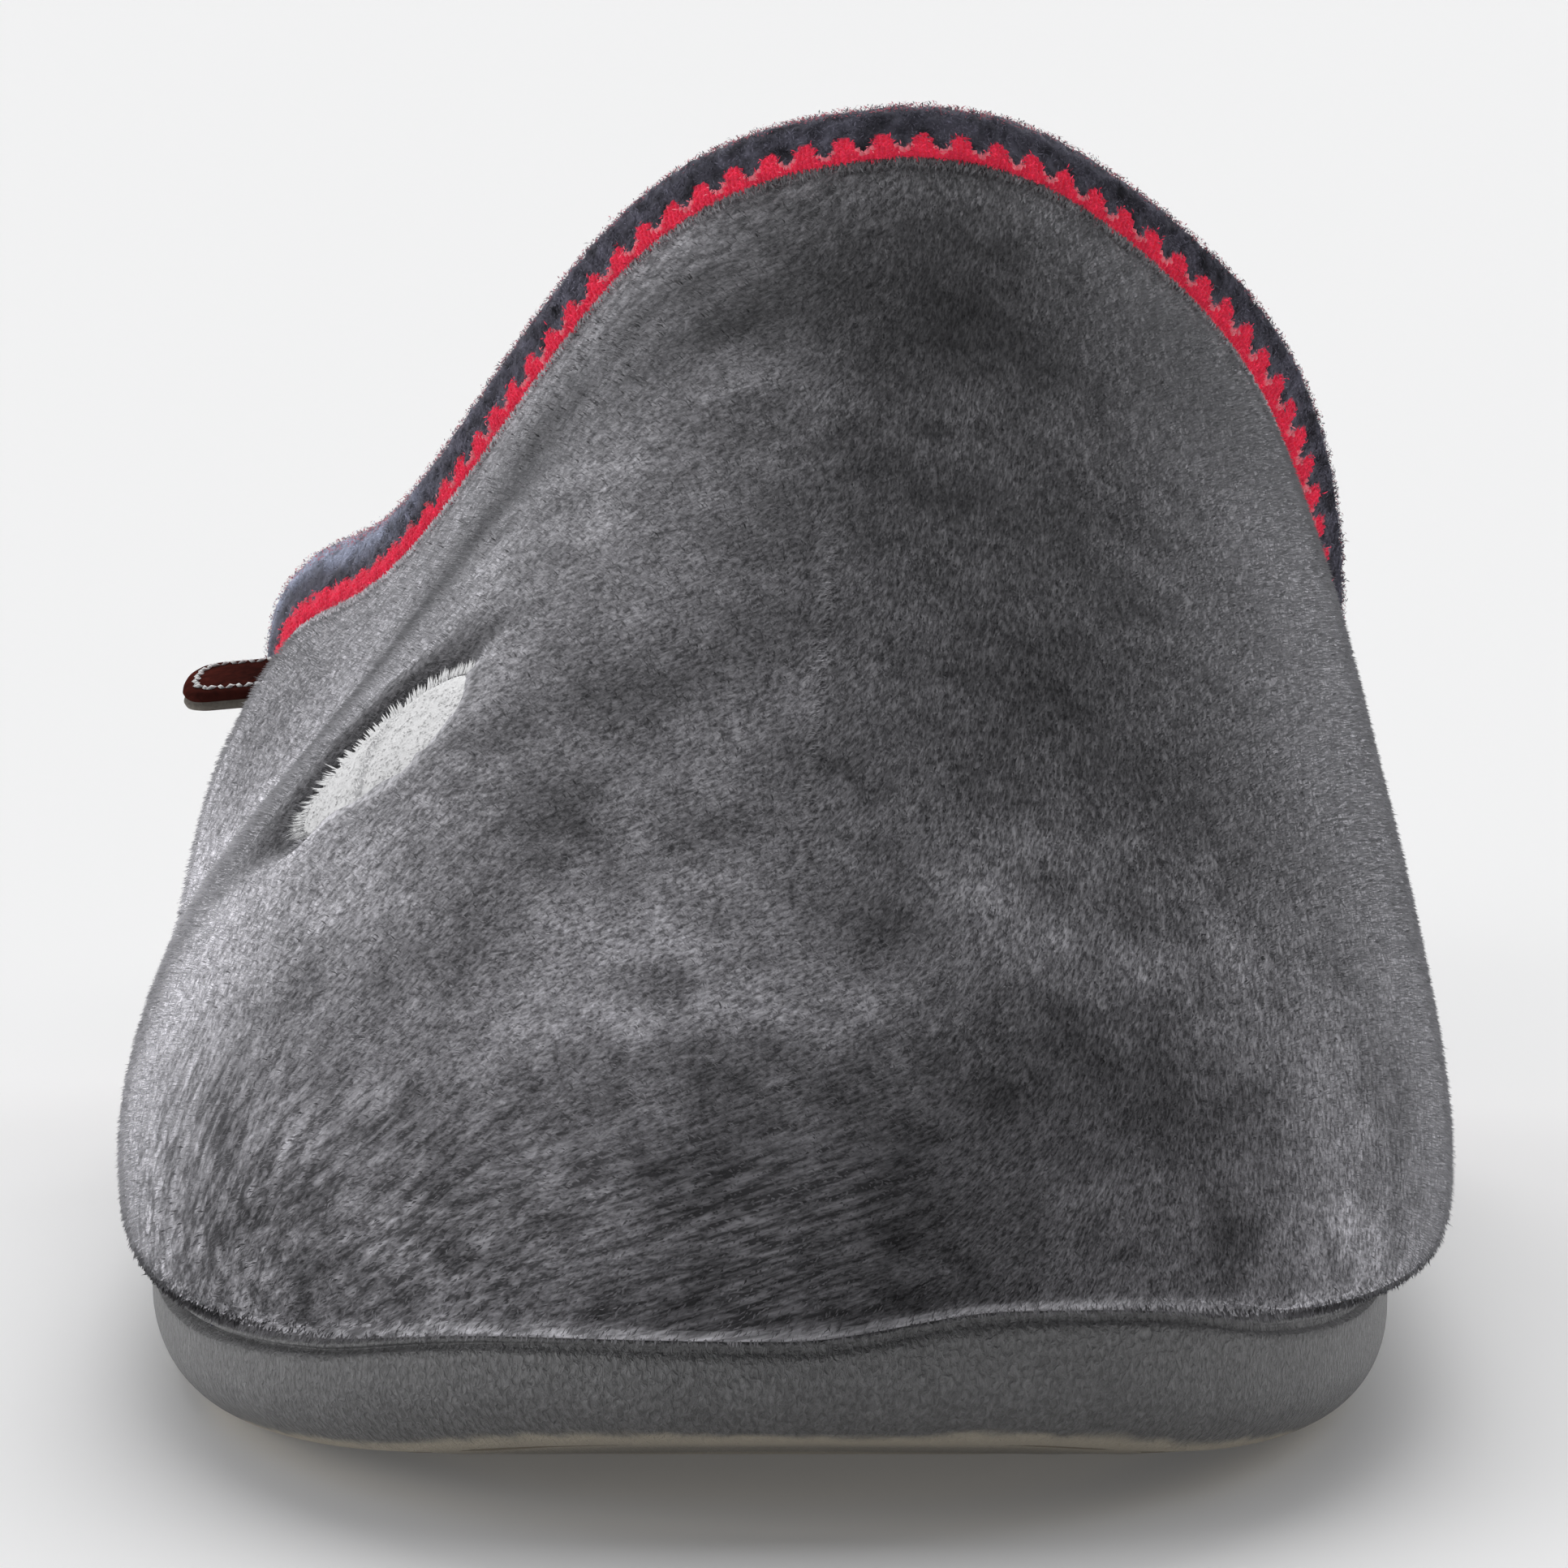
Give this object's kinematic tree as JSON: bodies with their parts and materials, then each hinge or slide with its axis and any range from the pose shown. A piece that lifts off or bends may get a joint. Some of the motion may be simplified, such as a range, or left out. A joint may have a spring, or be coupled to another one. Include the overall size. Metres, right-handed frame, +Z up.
{
  "type": "mule slipper",
  "caption": "Backless house slipper for the right foot: closed velour upper with a knitted collar, a side tab and an oval badge, on a padded insole and a moulded sole.",
  "frame": {"origin": "on the floor, under the middle of the slipper's box", "axes": "+Z up; the toe points to -Y and the heel to +Y; +X is the inner side of the foot"},
  "size_m": [0.113, 0.2866, 0.0997],
  "materials": {
    "outsole": "matt beige rubber",
    "midsole": "grained grey foam rubber",
    "insole": "navy fleece",
    "upper": "brushed grey velour",
    "collar_edging": "red knit",
    "collar_roll": "navy knit",
    "badge": "white satin stitch",
    "side_tab": "polished brown"
  },
  "bodies": {
    "root": {"outsole": "outsole", "midsole": "midsole", "insole": "insole", "upper": "upper", "collar_edging": "collar_edging", "collar_roll": "collar_roll", "badge": "badge", "side_tab": "side_tab"}
  },
  "joints": []
}
